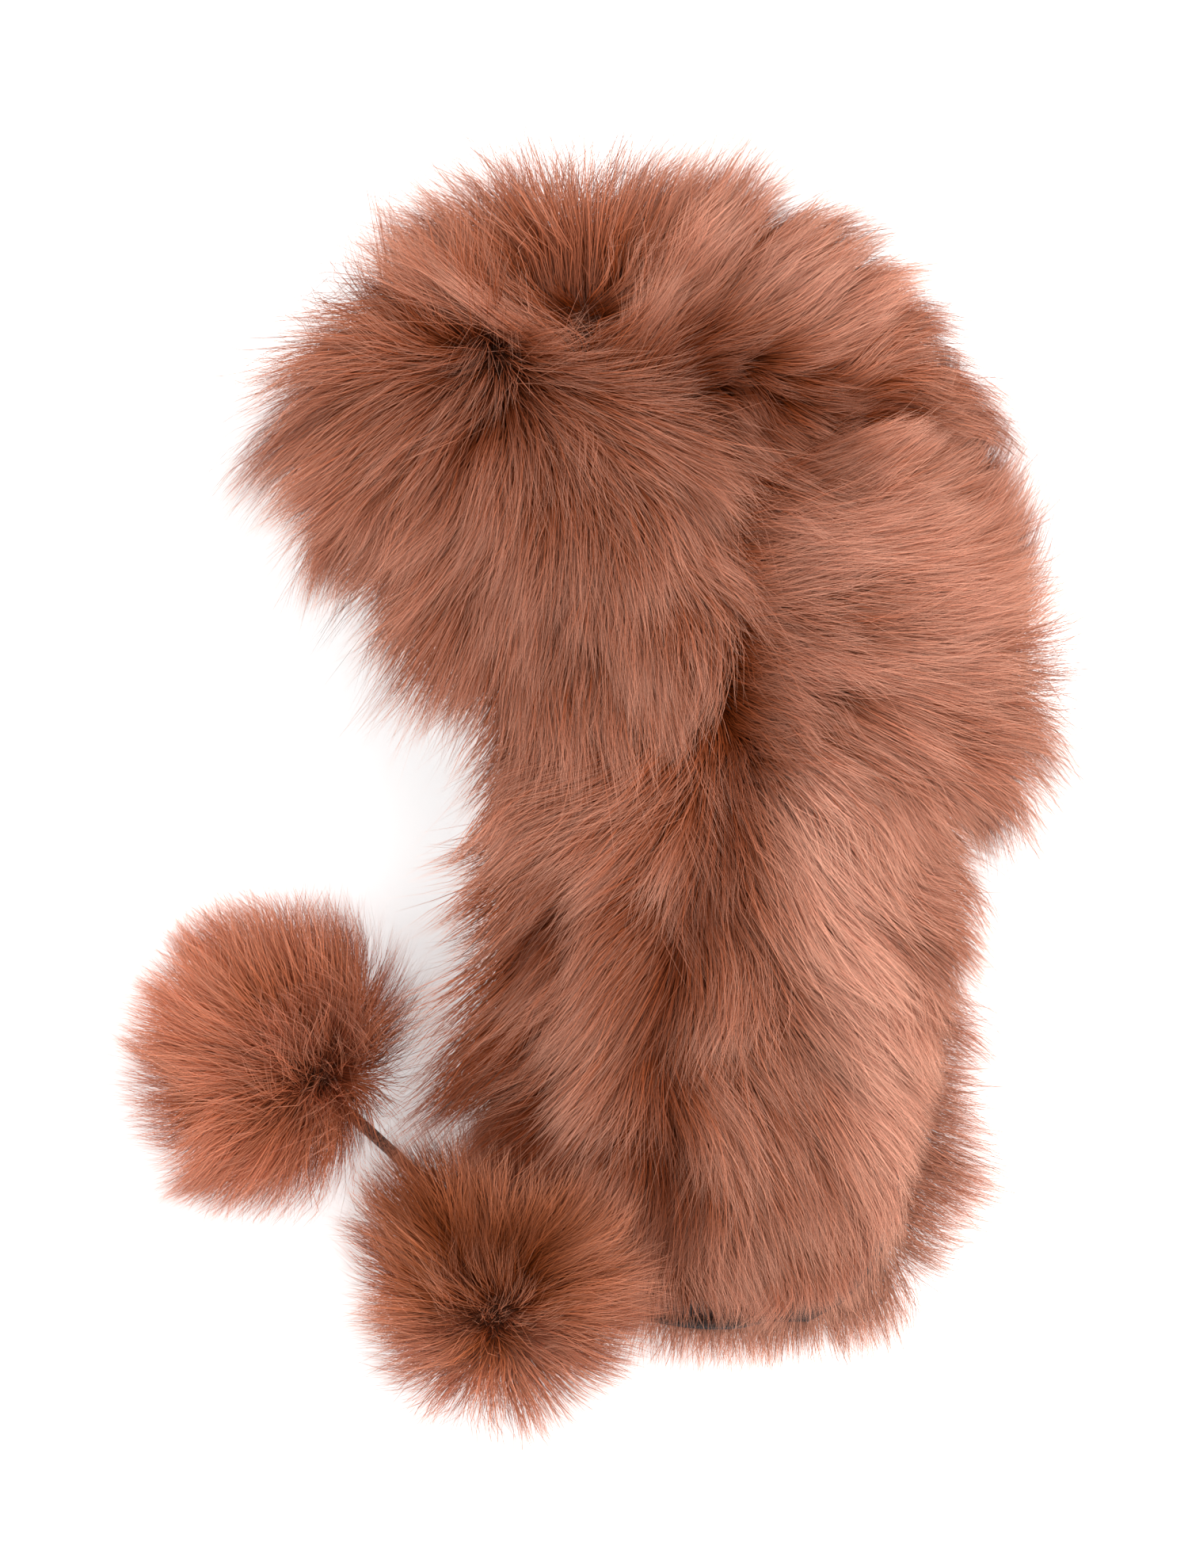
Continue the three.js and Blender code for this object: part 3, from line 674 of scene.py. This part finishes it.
def hair_mesh(name, paths, facing, width, facts, shade):
    """Flat tapered hairs as one mesh, each with its own cell of the texture map."""
    count, points = paths.shape[:2]
    run = np.gradient(paths, axis=1)
    run = unit(run)
    side = unit(np.cross(run, facing[:, None]))
    taper = 1 - np.linspace(0, 1, points) ** 1.6
    half = 0.5 * width[:, None, None] * taper[None, :, None]
    left = paths - side * half
    right = paths + side * half
    per_hair = 2 * SEGMENTS + 1
    places = np.empty((count, per_hair, 3))
    places[:, 0:-1:2] = left[:, :-1]
    places[:, 1:-1:2] = right[:, :-1]
    places[:, -1] = paths[:, -1]
    normals = shade[:, None] - run * np.sum(shade[:, None] * run, axis=2, keepdims=True)
    normals = unit(normals + 0.35 * np.cross(side, run))
    shown = np.empty_like(places)
    shown[:, 0:-1:2] = normals[:, :-1] - 0.25 * side[:, :-1]
    shown[:, 1:-1:2] = normals[:, :-1] + 0.25 * side[:, :-1]
    shown[:, -1] = normals[:, -1]
    corners = []
    for step in range(SEGMENTS - 1):
        a = 2 * step
        corners += [a, a + 1, a + 3, a + 2]
    corners += [per_hair - 3, per_hair - 2, per_hair - 1]
    sizes = [4] * (SEGMENTS - 1) + [3]
    corners = (np.arange(count)[:, None] * per_hair + np.array(corners)).ravel()
    sizes = np.tile(sizes, count)
    mesh = bpy.data.meshes.new(name)
    mesh.vertices.add(count * per_hair)
    mesh.vertices.foreach_set("co", (places * MM).astype(np.float32).ravel())
    mesh.loops.add(len(corners))
    mesh.loops.foreach_set("vertex_index", corners.astype(np.int32))
    mesh.polygons.add(len(sizes))
    starts = np.concatenate([[0], np.cumsum(sizes)[:-1]])
    mesh.polygons.foreach_set("loop_start", starts.astype(np.int32))
    mesh.polygons.foreach_set("use_smooth", np.ones(len(sizes), bool))
    cells = math.ceil(math.sqrt(count))
    order = np.arange(count)
    corner_uv = np.empty((count, per_hair, 2))
    run_up = np.repeat(np.linspace(0.08, 0.92, SEGMENTS + 1), 2)[:per_hair]
    corner_uv[..., 1] = ((order // cells)[:, None] + run_up) / cells
    aside = np.tile([0.1, 0.9], SEGMENTS + 1)[:per_hair]
    aside[-1] = 0.5
    corner_uv[..., 0] = ((order % cells)[:, None] + aside) / cells
    layer = mesh.uv_layers.new(name="OFBake")
    layer.data.foreach_set("uv", corner_uv.reshape(-1, 2)[corners].astype(np.float32).ravel())
    along = np.repeat(np.linspace(0, 1, SEGMENTS + 1), 2)[:per_hair]
    values = np.empty((count, per_hair, 4), np.float32)
    values[..., 0] = along
    for index, value in enumerate(facts):
        values[..., index + 1] = value[:, None]
    colours = mesh.color_attributes.new(name="hair", type="FLOAT_COLOR", domain="POINT")
    colours.data.foreach_set("color", values.ravel())
    mesh.update()
    mesh.normals_split_custom_set_from_vertices(unit(shown).reshape(-1, 3).tolist())
    piece = bpy.data.objects.new(name, mesh)
    bpy.context.scene.collection.objects.link(piece)
    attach(piece, "root")
    return piece


def grow(name, root, normal, flow, *, length, lift, width, locks, seed, material, nodes,
         deep=None, between=0.52, stray=12, shorten=None, tidy=None, roll=45, free=False):
    """Hair on given roots. locks gives, for each size of lock, its hairs and how tight it is. deep
    gives the painted shade (above 0) and painted highlight (below 0) at each place, between the
    painted shade between locks, stray and roll are degrees that hairs turn by, and tidy cuts the
    hair."""
    rng = np.random.default_rng(seed)
    count = len(root)
    lengths = length * rng.uniform(0.5, 1.0, count) ** 0.7
    guard = rng.random(count) < GUARD_SHARE
    lengths[guard] *= GUARD_LENGTH
    if shorten is not None:
        lengths *= shorten
    lifts = np.clip(lift + 0.1 * waves(root, seed + 5) + rng.normal(0, 0.09, count), 0.05, 0.97)
    leaders = [nearest(root, rng.choice(count, max(8, count // per_lock), replace=False))
               for per_lock, _ in locks]
    aside = np.linalg.norm(root - root[leaders[1]], axis=1)
    border = smooth_step(aside / np.percentile(aside, 90), 0.45, 1.1)
    lengths *= (1 + 0.12 * waves(root, seed + 6)) * (1.06 - 0.26 * border)
    paths = hair_paths(root, normal, flow, lengths, lifts, rng, stray, free)
    lock_tone = rng.random(count)
    for (_, strength), guides in zip(locks, leaders):
        tight = strength * rng.uniform(0.75, 1.2, count)[guides]
        paths = gather(paths, guides, lengths, np.minimum(tight, 0.95)[:, None])
        lock_tone = 0.55 * lock_tone + 0.45 * rng.random(count)[guides]
    loose = rng.random(count) < LOOSE_SHARE
    wander = rng.normal(0, 1, (count, 3)) * lengths[:, None]
    wander = wander * np.where(loose, 0.17, 0.025)[:, None]
    reach = np.linspace(0, 1, SEGMENTS + 1) ** 1.6
    paths = paths + wander[:, None] * reach[None, :, None]
    if tidy is not None:
        paths = tidy(paths, rng)
    floor = 0.25 + 2.2 * rng.random(count)[:, None] * reach
    paths[..., 2] = np.maximum(paths[..., 2], floor)
    for axis, start, room in ROOM_FOR_HAIR:
        over = np.maximum(paths[..., axis] - start, 0)
        paths[..., axis] += room * np.tanh(over / room) - over
    run = unit(paths[:, -1] - paths[:, 0])
    plain = unit(normal - run * np.sum(normal * run, axis=1)[:, None]
                 + 0.02 * rng.normal(0, 1, (count, 3)))
    angle = np.radians(rng.uniform(-roll, roll, count))[:, None]
    facing = unit(plain * np.cos(angle) + np.cross(run, plain) * np.sin(angle))
    thick = width * rng.uniform(0.6, 1.25, count) * np.where(guard, 0.8, 1.0)
    # Painted shade at the edges of locks and a little painted highlight near their middles, with
    # what deep gives at each place
    depth = between * (border - 0.3) + (0 if deep is None else deep(paths[:, 2]))
    depth = np.clip(depth, -1, 1)
    hair_tone = np.clip(rng.normal(0.4, 0.25, count) + 0.35 * guard, 0, 1)
    shade = unit(0.5 * normal + 0.35 * facing + np.array([0, 0, 0.3]))
    piece = hair_mesh(name, paths, facing, thick, (hair_tone, lock_tone, depth), shade)
    piece.data.materials.append(material)
    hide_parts(*nodes)
    return piece


def smooth_wall(name, surface, grid, depths, material, slot, *nodes, closed=False):
    points, faces = wall(surface, grid, depths, closed)
    points[:, 2] = np.maximum(points[:, 2], ABOVE_FLOOR)
    piece = mesh_piece(name, points, faces)
    piece.data.materials.append(material)
    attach(piece, "root")
    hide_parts(*nodes)
    return piece


# ---------------------------------------------------------------- hides and linings


MEASURED = 80  # places along a line that is measured


def run_of(points):
    return float(np.sum(np.linalg.norm(np.diff(points, axis=0), axis=1)))


def lining_cloth(name, surface, grid, depths, hide, *nodes, closed=False):
    """Lining sewn flat to a hide. It measures the width and length its panel was cut to, and does
    nothing more with them.
    """
    piece = smooth_wall(name, surface, grid, depths, black_lining, "lining", *nodes, closed=closed)
    across, still = np.linspace(0, 1, MEASURED), np.ones(MEASURED)
    up = np.linspace(0, DOME_TOP if closed else 1, MEASURED)
    width = max(run_of(surface(across, still * at)) for at in (0, 0.5, 0.9))
    length = max(run_of(surface(still * at, up)) for at in (0, 0.25, 0.5, 0.75, 1))


PANEL_OUTSIDE = 2.9  # the outer face of the brow flap and the band, which lie over the crown

crown_hide = smooth_wall("crown_hide", crown_surface, (48, 20), (-2.0, 0.0), underfur, "fur",
                         "crown_left", "crown_right", closed=True)
lining_cloth("crown_lining", crown_surface, (48, 20), (-2.5, -2.05), crown_hide,
             "crown_left", "crown_right", closed=True)
smooth_wall("brow_hide", brow_surface, (48, 16), (0.5, PANEL_OUTSIDE), underfur, "fur",
            "brow_flap")
band_hide = smooth_wall("band_hide", band_surface, (48, 16), (1.0, PANEL_OUTSIDE), underfur, "fur",
                        "neck_band")
lining_cloth("band_lining", band_surface, (48, 16), (0.45, 0.95), band_hide, "neck_band")
left_hide = smooth_wall("left_flap_hide", left_flap_surface, (24, 32), (-2.4, 0.0), underfur,
                        "fur", "ear_flap_left")
lining_cloth("left_flap_lining", left_lining_surface, (24, 36), (-4.2, -3.4), left_hide,
             "ear_lining_left")
right_hide = smooth_wall("right_flap_hide", right_flap_surface, (24, 32), (-1.9, 0.0), underfur,
                         "fur", "ear_flap_right")
lining_cloth("right_flap_lining", right_flap_surface, (24, 32), (-2.5, -1.95), right_hide,
             "ear_flap_right")

# ---------------------------------------------------------------- fur of the hat

# Where hair is darkened towards its root colour, on the side that faces up: partly the dark roots
# that show where the fur parts, partly painted shade in its hollows and folds, between its panels
# and on the sides that face away from the key light. Each is a line across the hat, its half width
# and how dark it is. Less than 0 is a painted highlight on a ridge that faces the light.
HOLLOW = [(-31, 158), (-20, 149)]
VALLEY = [(12, 100), (12, 86), (22, 31), (26, -8)]
FOLD = [(56, 119), (84, 114)]
BROW_ROOTS_AND_PAINTED_SHADING = [([(-65, 138), (-60, 136)], 8, 0.5), ([(-24, 154), (4, 132), (8, 90)], 9, 0.6),
                 ([(-75, 30), (-55, 20)], 20, 0.4), ([(-50, 110), (-34, 40)], 60, 0.4)]
CROWN_ROOTS_AND_PAINTED_SHADING = [(HOLLOW, 9, 1), ([(16, 132), (38, 112)], 20, 0.8), (FOLD, 9, 0.9),
                  ([(30, 172), (64, 156)], 20, -0.4)]
BAND_ROOTS_AND_PAINTED_SHADING = [(VALLEY, 15, 0.85), ([(20, 92), (50, 104)], 13, 0.8),
                 ([(60, 60), (100, 40)], 24, -0.25)]
FLAP_ROOTS_AND_PAINTED_SHADING = [([(26, -8), (12, -47), (-1, -86), (4, -131)], 12, 0.8),
                 ([(0, -132), (6, -150)], 12, 1), ([(-68, -106), (-46, -140)], 22, 1),
                 ([(-52, -90), (-30, -50)], 24, 0.45),
                 ([(-50, 12), (2, 18)], 26, 0.45), ([(44, 10), (66, -60), (84, -140)], 16, -0.9)]

# Where the fur is longer or shorter: a line, its half width and the share that its hair gains
CROWN_TRIMS = [([(-38, 178), (-6, 184)], 22, 0.24), ([(-4, 178), (22, 174)], 18, -0.16),
               ([(-74, 158), (-52, 170)], 16, -0.2), ([(78, 118), (92, 98)], 14, 0.06)]
BROW_TRIMS = [([(-102, 100), (-92, 66)], 18, -0.36), ([(-98, 124), (-92, 138)], 14, 0.28),
              ([(-72, 46), (-56, 30)], 14, -0.15), ([(-32, 148), (-18, 138)], 14, -0.55)]
BAND_TRIMS = [([(92, 32), (98, 10)], 14, 0.14), ([(82, -4), (96, 0)], 10, -0.3),
              ([(82, 48), (98, 50)], 10, -0.18)]


def near_line(at, line, half):
    """How near places are to a line across the hat: 1 on it, falling off over half its width."""
    line = np.array(line, float)
    near = np.full(len(at), 1e9)
    for a, b in zip(line[:-1], line[1:]):
        along = b - a
        share = np.clip((at[:, :2] - a) @ along / (along @ along), 0, 1)
        near = np.minimum(near, np.linalg.norm(at[:, :2] - (a + share[:, None] * along), axis=1))
    return np.exp(-(near / half) ** 2)


def trimmed(at, trims):
    """The share of its length that hair keeps at each place."""
    share = np.ones(len(at))
    for line, half, gain in trims:
        share *= 1 + gain * near_line(at, line, half)
    return share


def darkness(at, roots_and_shading, level=90):
    """The dark roots and painted shade that the lines give each place above a level, less the
    painted highlights of the lines below 0.
    """
    deep = np.zeros(len(at))
    pale = np.zeros(len(at))
    for line, half, depth in roots_and_shading:
        value = depth * near_line(at, line, half)
        deep, pale = np.maximum(deep, value), np.minimum(pale, value)
    return (deep + pale) * smooth_step(at[:, 2], level - 20, level)


def keep_crown(root, normal, u, v):
    """Hair grows on the crown only where no panel covers it, and a little way under their edges."""
    angle = u * 360
    from_front = np.minimum(angle, 360 - angle)
    reach = np.minimum(from_front, BROW["half"]) / BROW["half"]
    brow_top = BROW["high"] - BROW["fall"] * reach ** 3 - 8
    side = np.clip((angle - 180) / (0.5 * (BAND["end"] - BAND["start"])), -1, 1)
    band_top = BAND["high"] - BAND["fall"] * side ** 2 - 6
    bare = np.where(from_front < BROW["half"], root[:, 1] > brow_top, root[:, 1] > band_top)
    return bare * seen_from_above(normal)


def keep_panel(root, normal, u, v):
    return seen_from_above(normal)


def keep_far_flap(root, normal, u, v):
    """The far flap lies under the near one, so it grows most of its hair along its edges."""
    edge = np.minimum(np.minimum(u, 1 - u) * 2.2, v * 2.2)
    return mix(0.08, 1.0, smooth_step(0.34 - edge, 0, 0.3)) * (v < 0.9)


HAT_LOCKS = ((420, 0.26), (80, 0.52), (12, 0.42))
HAT_WIDTH = 0.32
HAT_STRAY = 14

root, normal, u, v = scatter(crown_surface, 30000, 11, keep_crown)
on_top = root[:, 2] > 95
patch = near_line(root, [(22, 122), (38, 112)], 30) * (normal[:, 2] > 0.2)
cut = (1 - 0.42 * patch) * (1 - 0.36 * smooth_step(root[:, 0], 20, 80))
cut *= 1 + 0.2 * smooth_step(-root[:, 0], 0, 40) * smooth_step(root[:, 0], -80, -56)
cut *= trimmed(root, CROWN_TRIMS)
cut *= 1 - 0.6 * near_line(root, [(-29, 156), (-22, 140)], 11) * on_top
rough = HAT_STRAY + HAT_STRAY * near_line(root, HOLLOW, 20) * on_top
upper = root[:, 2] > HEAD["middle"]
for side, name, seed in ((upper, "crown_left", 12), (~upper, "crown_right", 13)):
    grow(name + "_fur", root[side], normal[side], crown_flow, length=54, lift=0.6, width=HAT_WIDTH,
         locks=HAT_LOCKS, seed=seed, material=hat_hair, nodes=[name],
         shorten=cut[side], stray=rough[side], deep=lambda at: darkness(at, CROWN_ROOTS_AND_PAINTED_SHADING))

root, normal, u, v = scatter(brow_surface, 38500, 21, keep_panel)
low_edge = smooth_step(v, 0, 0.4)
front = smooth_step(-root[:, 0], 30, 80)
whorl = near_line(root, [(-65, 134), (-60, 132)], 12) * smooth_step(140 - root[:, 1], 0, 6)
side_edge = smooth_step(root[:, 0], -12, 12) * (root[:, 2] > HEAD["middle"])
over_rim = smooth_step(root[:, 1], 133, 141)
uneven = np.random.default_rng(23).random(len(root))
cut = trimmed(root, BROW_TRIMS) * (1 - 0.15 * side_edge) * (1 - 0.35 * whorl)
cut *= 1 - uneven * np.maximum(0.5 * (1 - low_edge) * (1 - 0.7 * front),
                               0.66 * smooth_step(root[:, 0], -20, 8))
stand = mix(0.34, 0.56, low_edge) * (1 - 0.4 * side_edge) * (1 - 0.3 * over_rim) + 0.26 * whorl
grow("brow_fur", root + PANEL_OUTSIDE * normal, normal, brow_flow, length=60, lift=stand,
     width=HAT_WIDTH, locks=HAT_LOCKS, seed=22, material=hat_hair, nodes=["brow_flap"],
     shorten=cut, stray=HAT_STRAY + 22 * whorl,
     deep=lambda at: darkness(at, BROW_ROOTS_AND_PAINTED_SHADING))

root, normal, u, v = scatter(band_surface, 38000, 31, keep_panel)
low_edge = smooth_step(v, 0, 0.4)
high_back = smooth_step(root[:, 1], 50, 90) * smooth_step(root[:, 0], 30, 80)
upper = root[:, 2] > HEAD["middle"]
valley = near_line(root, VALLEY, 15) * upper
by_fold = near_line(root, [(40, 98), (70, 106)], 16) * upper
cut = ((1 - 0.4 * high_back) * (1 - 0.22 * (1 - low_edge)) * (1 - 0.4 * valley)
       * (1 - 0.45 * by_fold) * trimmed(root, BAND_TRIMS))
stand = mix(0.3, 0.5, low_edge) * (1 - 0.4 * high_back) + 0.2 * valley
grow("band_fur", root + PANEL_OUTSIDE * normal, normal, band_flow, length=56, lift=stand,
     width=HAT_WIDTH, locks=HAT_LOCKS, seed=32, material=hat_hair, nodes=["neck_band"],
     shorten=cut, stray=HAT_STRAY + HAT_STRAY * valley,
     deep=lambda at: darkness(at, BAND_ROOTS_AND_PAINTED_SHADING))


def shortened(paths, share):
    """Hairs cut down to a share of their length, towards their roots."""
    return paths[:, :1] + (paths - paths[:, :1]) * np.clip(share, 0.2, 1)[:, None, None]


def end_near_flap(paths, rng):
    """Let the hair of the near flap end over its lining, and before the far flap shows behind it."""
    spread = rng.random(len(paths)) ** 2
    lowest = -180 + 7 * near_line(paths[:, -1], [(33, -182), (46, -182)], 8) - 12 * spread
    fall = paths[:, 0, 1] - paths[:, -1, 1]
    paths = shortened(paths, (paths[:, 0, 1] - lowest) / np.maximum(fall, 1))
    back = np.interp(paths[:, -1, 1], [-190, -170, -140, -107, -86, -60],
                     [66, 77, 85, 92, 99, 140])
    out = paths[:, -1, 0] - paths[:, 0, 0]
    return shortened(paths, (back + 3 - 14 * spread - paths[:, 0, 0]) / np.maximum(out, 1))


def end_far_flap(paths, rng):
    """Let the hair of the far flap end unevenly a little below its edge."""
    fall = paths[:, 0, 1] - paths[:, -1, 1]
    lowest = -188 - 20 * rng.random(len(paths)) ** 1.5
    return shortened(paths, (paths[:, 0, 1] - lowest) / np.maximum(fall, 1))


root, normal, u, v = scatter(left_flap_surface, 39000, 41, keep_panel)
front = smooth_step(0.3 - u, 0, 0.25)
cut = 1 - 0.3 * front * smooth_step(root[:, 1], -70, -40)
reach = 0.25 * front * near_line(root, [(-48, -60), (-50, -80)], 18)
reach -= 0.38 * front * near_line(root, [(-46, -104), (-38, -148)], 22)
grow("left_flap_fur", root, normal, left_flap_flow, length=54, lift=0.46, width=HAT_WIDTH,
     locks=HAT_LOCKS, seed=42, material=hat_hair, nodes=["ear_flap_left"],
     shorten=(cut + reach) * (1 - 0.3 * smooth_step(u, 0.8, 1)), stray=HAT_STRAY,
     tidy=end_near_flap, deep=lambda at: darkness(at, FLAP_ROOTS_AND_PAINTED_SHADING, 20))

# Painted light: the far flap's hair is paled towards its tip colour all over, and more towards its
# lower end, to lift the shade that the near flap casts on it
root, normal, u, v = scatter(right_flap_surface, 14000, 51, keep_far_flap)
grow("right_flap_fur", root, normal, right_flap_flow, length=44, lift=0.2, width=0.3,
     locks=((300, 0.3), (24, 0.45)), seed=52, material=hat_hair, nodes=["ear_flap_right"],
     stray=18, tidy=end_far_flap,
     deep=lambda at: -0.4 - 0.2 * smooth_step(-at[:, 1], 150, 185))

# ---------------------------------------------------------------- pompoms

CORE = 21.0
POMPOM_HAIRS = 16000
POMPOM_LOCKS = ((400, 0.3), (50, 0.35), (10, 0.35))


def pompom(node, material, *, centre, knot, length, furthest, lift, seed, dark, between, longer):
    """A ball of long fur that is combed away from the place of its knot. furthest is how far its
    hair may reach from its centre, and longer the share that hair gains by its direction."""
    centre = np.array(centre, float)
    order = np.arange(POMPOM_HAIRS) + 0.5
    z = 1 - 2 * order / POMPOM_HAIRS
    turn = order * math.pi * (3 - math.sqrt(5))
    flat = np.sqrt(1 - z * z)
    normal = np.stack([flat * np.cos(turn), flat * np.sin(turn), z], axis=-1)
    root = centre + CORE * normal
    from_knot = np.linalg.norm(root[:, :2] - knot, axis=1)
    near = (1 - smooth_step(from_knot, 2, 10)) * smooth_step(z, -0.3, 0.1)

    def flow_round(at):
        away = np.zeros_like(at)
        away[:, :2] = unit(at[:, :2] - knot)
        ruffle = [waves(at, seed + axis, (14, 19, 27)) for axis in range(3)]
        return away + 0.4 * np.stack(ruffle, axis=-1)

    def within_ball(paths, rng):
        reach = np.linalg.norm(paths[:, -1] - centre, axis=1)
        return shortened(paths, rng.uniform(furthest - 10, furthest, len(paths)) / reach)

    # Partly the dark roots that show at the knot, partly painted shade in its hollow: hair round the
    # knot is darkened towards its root colour. dark gives painted shade above 0 and painted
    # highlight below 0.
    fur = grow(node + "_fur", root, normal, flow_round, length=length, lift=lift, width=0.3,
               locks=POMPOM_LOCKS, seed=seed, material=material, nodes=[node],
               shorten=(1 - 0.35 * near) * (1 + longer(normal)), stray=30, tidy=within_ball,
               between=between, free=True,
               deep=lambda at: 0.8 * near ** 2 + darkness(at, dark, 40))
    bpy.ops.object.select_all(action="DESELECT")
    bpy.ops.mesh.primitive_ico_sphere_add(subdivisions=4, radius=CORE * MM,
                                          location=Vector(centre) * MM)
    core = bpy.context.object
    core.name = node + "_core"
    bpy.ops.object.transform_apply(location=True, rotation=True, scale=True)
    bpy.ops.object.shade_smooth()
    core.data.materials.append(underfur)
    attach(core, "root")
    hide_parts(node)
    return [fur, core]


def towards(normal, heading, low, high):
    """1 on the side of a ball that faces a heading."""
    return smooth_step(normal @ unit(np.array(heading)), low, high)


# The left ball's dark lines paint shade on its top, where it meets the near flap, and paint light on
# its underside, which faces away from the key light
left_ball = pompom(
    "pompom_left", dark_pompom, centre=(-54, -172.5, 40), knot=(-55, -187), length=43,
    furthest=62, lift=0.66, seed=61, between=0.3,
    dark=[([(-82, -142), (-58, -156), (-40, -154)], 15, 0.9),
          ([(-84, -206), (-26, -206)], 20, -0.8)],
    longer=lambda normal: 0.8 * towards(normal, (-0.55, 0.8, 0.1), 0.55, 0.95))
right_ball = pompom(
    "pompom_right", pale_pompom, centre=(-125, -97, 40), knot=(-101, -104), length=52,
    furthest=64, lift=0.58, seed=71, between=0.12, dark=[],
    longer=lambda normal: (0.15 * np.abs(normal[:, 1])
                           - 0.4 * towards(normal, (0.7, -0.65, -0.2), 0.75, 0.97)))

# ---------------------------------------------------------------- floor and light

# From here on in metres
FLOOR_WIDTH = 6
LIGHT_AIM = Vector((0, 0, 0.05))

bpy.ops.object.select_all(action="DESELECT")
bpy.ops.mesh.primitive_plane_add(size=FLOOR_WIDTH, location=(0, 0, 0))
floor = bpy.context.object
floor.name = "floor"
paper, tree, shader = new_material("pale_floor")
shader.inputs["Base Color"].default_value = (0.93, 0.93, 0.93, 1)
shader.inputs["Emission Color"].default_value = (1, 1, 1, 1)
shader.inputs["Emission Strength"].default_value = 0.5
shader.inputs["Roughness"].default_value = 0.9
shader.inputs["Specular IOR Level"].default_value = 0.1
floor.data.materials.append(paper)

world = bpy.data.worlds.new("soft_room")
bpy.context.scene.world = world
world.use_nodes = True
world.node_tree.nodes["Background"].inputs["Color"].default_value = (1, 1, 1, 1)
world.node_tree.nodes["Background"].inputs["Strength"].default_value = 0.64


def soft_light(name, place, size, watts):
    data = bpy.data.lights.new(name, "AREA")
    data.shape = "DISK"
    data.size = size
    data.energy = watts
    lamp = bpy.data.objects.new(name, data)
    lamp.location = place
    lamp.rotation_euler = (LIGHT_AIM - Vector(place)).to_track_quat("-Z", "Y").to_euler()
    bpy.context.scene.collection.objects.link(lamp)


soft_light("key", place=(0.7, 0.5, 2.0), size=1.4, watts=34)
soft_light("fill", place=(-1.3, 0.1, 1.6), size=1.6, watts=10.2)
bpy.context.scene.view_settings.view_transform = "Standard"
